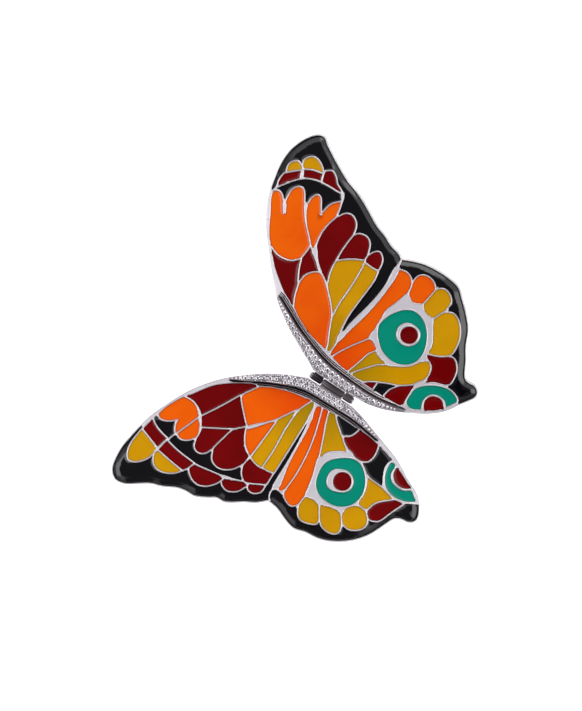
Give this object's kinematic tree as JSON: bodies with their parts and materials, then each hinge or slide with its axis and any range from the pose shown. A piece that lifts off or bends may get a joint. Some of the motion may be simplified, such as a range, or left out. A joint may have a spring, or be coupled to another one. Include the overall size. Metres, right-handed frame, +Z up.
{
  "type": "hinged butterfly brooch",
  "caption": "Butterfly brooch with domed enamelled wings on a small hinge, stone-set rails along the wing roots, and a safety pin with a turning catch behind.",
  "frame": {"origin": "the table surface under the middle of the brooch's outline, the brooch lying on its back", "axes": "+Z up, out of the enamelled faces; +Y along the hinge line towards the head end, between the forewings; +X to the raised right wing"},
  "size_m": [0.064, 0.0492, 0.0084],
  "materials": {
    "silver_plate": "bright rhodium or silver plate over cast metal, fully polished",
    "dull_silver": "the same plate, tarnished darker on the hinge knuckles",
    "steel": "drawn steel wire, smooth",
    "clear_stone": "clear brilliant-cut paste, foiled behind",
    "black_enamel": "glossy opaque enamel, black",
    "yellow_enamel": "glossy opaque enamel, mustard yellow",
    "red_enamel": "glossy enamel, deep red",
    "orange_enamel": "glossy opaque enamel, orange",
    "teal_enamel": "glossy opaque enamel, blue-green"
  },
  "bodies": {
    "right_wing": {"right_wing_plate": "silver_plate", "right_stone_rail": "silver_plate", "right_rail_stones": "clear_stone", "right_forewing_black_enamel": "black_enamel", "right_forewing_yellow_enamel": "yellow_enamel", "right_forewing_red_enamel": "red_enamel", "right_forewing_orange_enamel": "orange_enamel", "right_hindwing_black_enamel": "black_enamel", "right_hindwing_yellow_enamel": "yellow_enamel", "right_hindwing_red_enamel": "red_enamel", "right_hindwing_orange_enamel": "orange_enamel", "right_hindwing_teal_enamel": "teal_enamel", "right_head_knuckle": "dull_silver", "right_tail_knuckle": "dull_silver", "hinge_rod": "steel", "pin_joint": "silver_plate", "pin_rivet": "steel", "catch_housing": "silver_plate"},
    "left_wing": {"left_wing_plate": "silver_plate", "left_stone_rail": "silver_plate", "left_rail_stones": "clear_stone", "left_forewing_black_enamel": "black_enamel", "left_forewing_yellow_enamel": "yellow_enamel", "left_forewing_red_enamel": "red_enamel", "left_forewing_orange_enamel": "orange_enamel", "left_hindwing_black_enamel": "black_enamel", "left_hindwing_yellow_enamel": "yellow_enamel", "left_hindwing_red_enamel": "red_enamel", "left_hindwing_orange_enamel": "orange_enamel", "left_hindwing_teal_enamel": "teal_enamel", "left_knuckle": "dull_silver"},
    "pin_stem": {"pin_stem": "steel"},
    "catch_sleeve": {"catch_sleeve": "silver_plate"}
  },
  "joints": [
    {"name": "wing_fold", "type": "hinge", "parent": "right_wing", "child": "left_wing", "pos_m": [-0.00082, -0.00175, 0.00224], "axis": [0, 1, 0], "range_deg": [-25, 30]},
    {"name": "pin_opening", "type": "hinge", "parent": "right_wing", "child": "pin_stem", "pos_m": [0.01162, 0.0111, 0.00141], "axis": [0.9781, 0, 0.2079], "range_deg": [0, 65]},
    {"name": "catch_turn", "type": "hinge", "parent": "right_wing", "child": "catch_sleeve", "pos_m": [0.01162, -0.0136, 0.00141], "axis": [0, 1, 0], "range_deg": [0, 100]}
  ]
}
